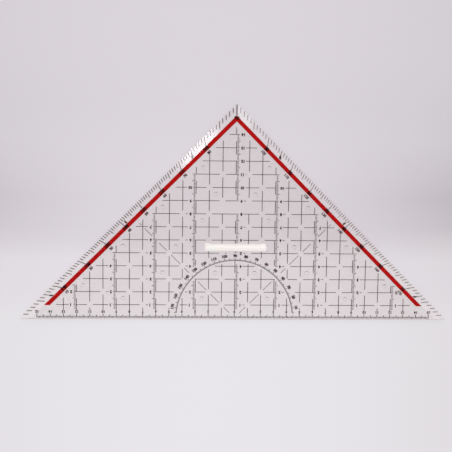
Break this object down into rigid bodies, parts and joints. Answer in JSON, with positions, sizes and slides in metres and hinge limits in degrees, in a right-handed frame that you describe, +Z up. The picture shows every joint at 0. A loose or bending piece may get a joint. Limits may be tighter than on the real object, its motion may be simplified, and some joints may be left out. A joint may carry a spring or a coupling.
{
  "type": "drafting triangle",
  "caption": "Clear right-angled set square with bevelled legs, printed centimetre scales, degree scales and grid, a red edge stripe and a lift-off grip.",
  "frame": {"origin": "centre of the footprint's bounding box, on the surface that the part lies on", "axes": "+X along the ruling edge to the right, +Y from the ruling edge to the right-angled corner, +Z up, with the printed side down"},
  "size_m": [0.325, 0.1634, 0.014],
  "materials": {
    "clear_acrylic": "clear, polished",
    "cream_plastic": "satin moulded",
    "red_ink": "printed ink",
    "black_ink": "printed ink"
  },
  "bodies": {
    "set_square": {"plate": "clear_acrylic", "red_edge_stripe": "red_ink", "base_scale_print": "black_ink", "leg_scale_print_left": "black_ink", "leg_scale_print_right": "black_ink", "protractor_print": "black_ink", "grid_print_m4": "black_ink", "grid_print_m3": "black_ink", "grid_print_m2": "black_ink", "grid_print_m1": "black_ink", "grid_print_p0": "black_ink", "grid_print_p1": "black_ink", "grid_print_p2": "black_ink", "grid_print_p3": "black_ink", "grid_print_p4": "black_ink"},
    "grip": {"handle": "cream_plastic"}
  },
  "joints": [
    {"name": "handle_lift", "type": "slide", "parent": "set_square", "child": "grip", "axis": [0, 0, 1], "range_m": [0, 0.03]}
  ]
}
